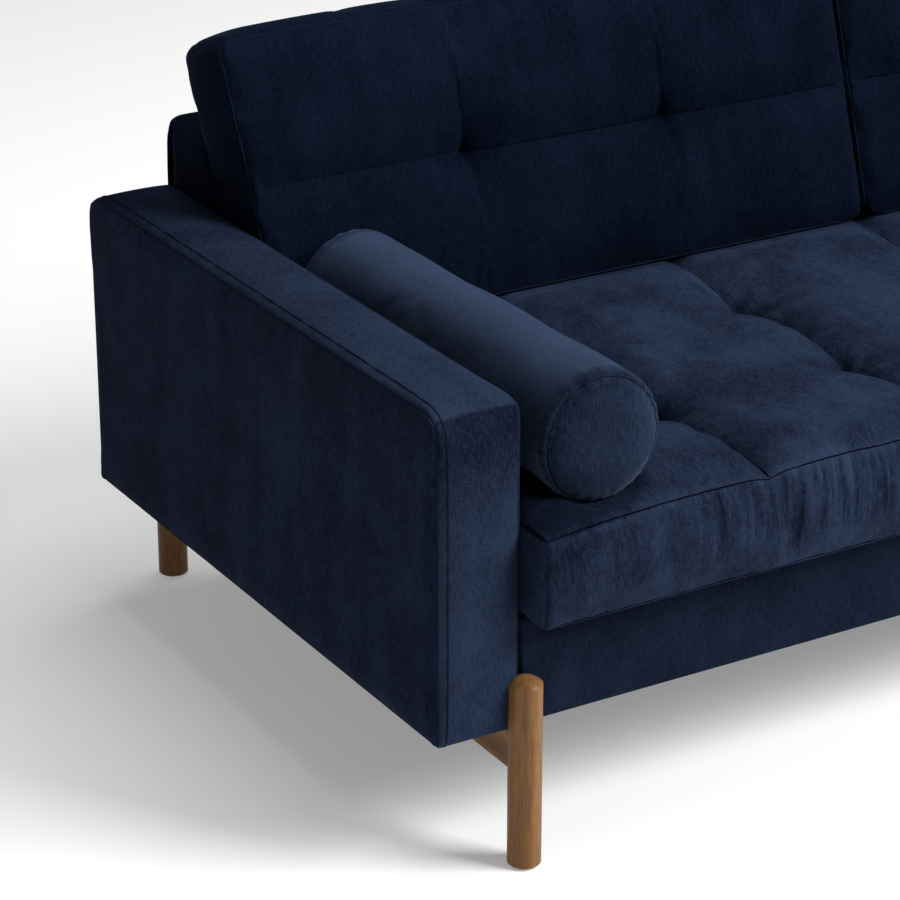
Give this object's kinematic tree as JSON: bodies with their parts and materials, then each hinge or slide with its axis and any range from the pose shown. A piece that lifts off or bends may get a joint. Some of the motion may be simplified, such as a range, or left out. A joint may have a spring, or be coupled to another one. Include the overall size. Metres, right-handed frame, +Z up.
{
  "type": "sofa",
  "caption": "Upholstered sofa with slab arms, bench seat cushion, tufted back cushions, side bolsters and round wooden legs joined by side stretchers.",
  "frame": {"origin": "the floor, under the centre of the sofa's whole outline", "axes": "+X along the sofa to the right as seen from the front, -Y the way the sitter faces, +Z up"},
  "size_m": [2.08, 0.9831, 0.8258],
  "materials": {
    "upholstery": "matte",
    "stained_wood": "satin",
    "frame_wood": "matte",
    "hardboard": "matte",
    "foam": "matte",
    "deck_felt": "matte",
    "lining": "matte",
    "webbing": "matte",
    "thread": "matte",
    "steel": "satin",
    "glide_plastic": "matte"
  },
  "bodies": {
    "frame": {"front_rail": "frame_wood", "seat_rear_rail": "frame_wood", "rear_rail": "frame_wood", "side_rail_left": "frame_wood", "side_rail_right": "frame_wood", "cross_braces": "frame_wood", "corner_blocks": "frame_wood", "seat_springs": "steel", "spring_clips": "steel", "stretcher_dowels": "frame_wood", "stretcher_screws": "steel", "leg_dowel_screws": "steel", "arm_left_front_post": "frame_wood", "arm_left_rear_post": "frame_wood", "arm_left_top_rail": "frame_wood", "arm_left_bottom_rail": "frame_wood", "arm_left_panels": "hardboard", "arm_left_pad": "foam", "arm_right_front_post": "frame_wood", "arm_right_rear_post": "frame_wood", "arm_right_top_rail": "frame_wood", "arm_right_bottom_rail": "frame_wood", "arm_right_panels": "hardboard", "arm_right_pad": "foam", "arm_bolts": "steel", "back_base_board": "frame_wood", "back_post_left": "frame_wood", "back_post_middle": "frame_wood", "back_post_right": "frame_wood", "back_top_rail": "frame_wood", "back_webbing": "webbing", "back_pad": "foam", "deck_pad": "deck_felt", "front_border": "upholstery", "dust_cover": "lining", "leg_front_left": "stained_wood", "leg_front_right": "stained_wood", "leg_rear_left": "stained_wood", "leg_rear_right": "stained_wood", "stretcher_left": "stained_wood", "stretcher_right": "stained_wood", "leg_glides": "glide_plastic", "arm_left_cover": "upholstery", "arm_right_cover": "upholstery", "back_front_cover": "upholstery", "back_rear_cover": "upholstery"},
    "seat_cushion": {"seat_cushion_cover": "upholstery", "seat_cushion_core": "foam", "seat_cushion_ties": "thread"},
    "back_cushion_left": {"back_cushion_left_cover": "upholstery", "back_cushion_left_core": "foam", "back_cushion_left_ties": "thread"},
    "back_cushion_right": {"back_cushion_right_cover": "upholstery", "back_cushion_right_core": "foam", "back_cushion_right_ties": "thread"},
    "bolster_left": {"bolster_left_cover": "upholstery", "bolster_left_core": "foam"},
    "bolster_right": {"bolster_right_cover": "upholstery", "bolster_right_core": "foam"}
  },
  "joints": [
    {"name": "seat_cushion_lift", "type": "slide", "parent": "frame", "child": "seat_cushion", "axis": [0, 0, 1], "range_m": [0, 0.25]},
    {"name": "back_cushion_left_lift", "type": "slide", "parent": "seat_cushion", "child": "back_cushion_left", "axis": [0, 0.309, 0.9511], "range_m": [0, 0.45]},
    {"name": "back_cushion_right_lift", "type": "slide", "parent": "seat_cushion", "child": "back_cushion_right", "axis": [0, 0.309, 0.9511], "range_m": [0, 0.45]},
    {"name": "bolster_left_lift", "type": "slide", "parent": "seat_cushion", "child": "bolster_left", "axis": [0, 0, 1], "range_m": [0, 0.3]},
    {"name": "bolster_right_lift", "type": "slide", "parent": "seat_cushion", "child": "bolster_right", "axis": [0, 0, 1], "range_m": [0, 0.3]}
  ]
}
